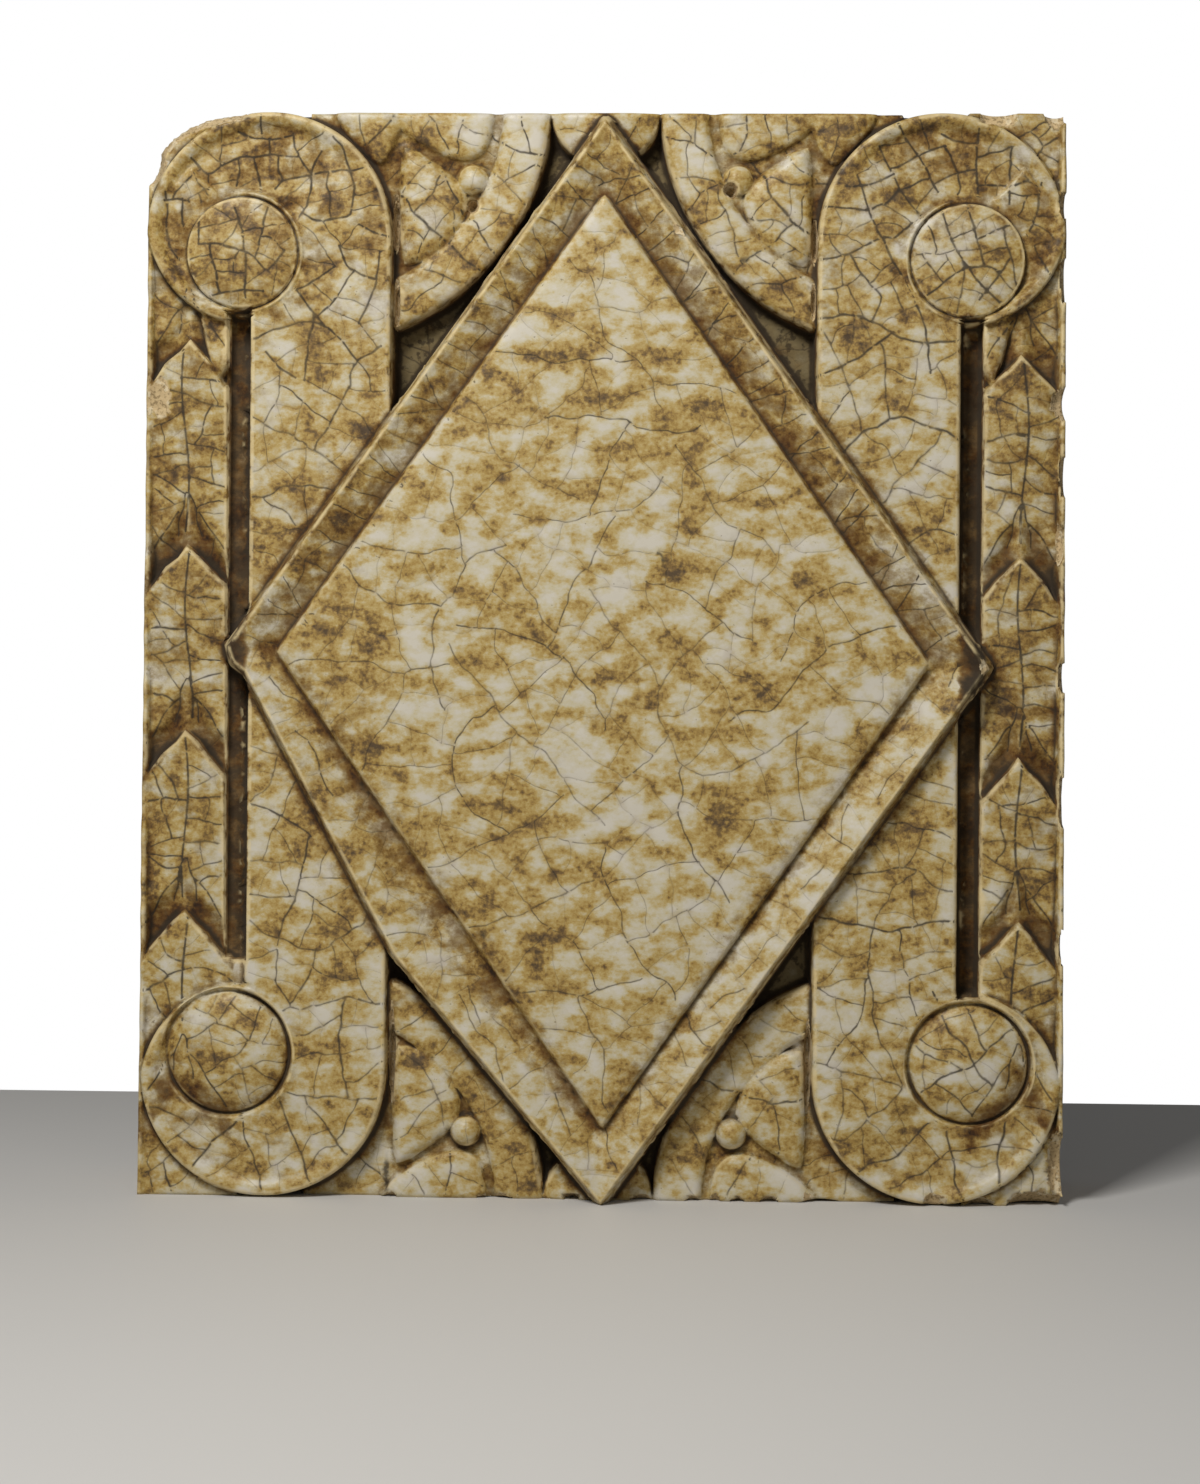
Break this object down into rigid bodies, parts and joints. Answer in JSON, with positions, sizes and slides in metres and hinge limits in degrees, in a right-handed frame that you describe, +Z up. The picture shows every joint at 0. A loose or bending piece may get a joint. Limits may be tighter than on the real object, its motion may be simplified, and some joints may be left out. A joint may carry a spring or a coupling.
{
  "type": "relief ornament tile",
  "caption": "Glazed terracotta relief tile for a roof or wall: a raised lozenge over upright scrolled bands, with leaf scales down the sides and quarter rings in the corners.",
  "frame": {"origin": "middle of the underside, half way through the whole depth", "axes": "+Z up, -Y out of the carved front, +X to the right of someone facing the front"},
  "size_m": [0.421, 0.096, 0.495],
  "materials": {
    "glaze": "cream crackle glaze with ochre stains and dark crazing over buff clay"
  },
  "bodies": {
    "root": {"tile": "glaze"}
  },
  "joints": []
}
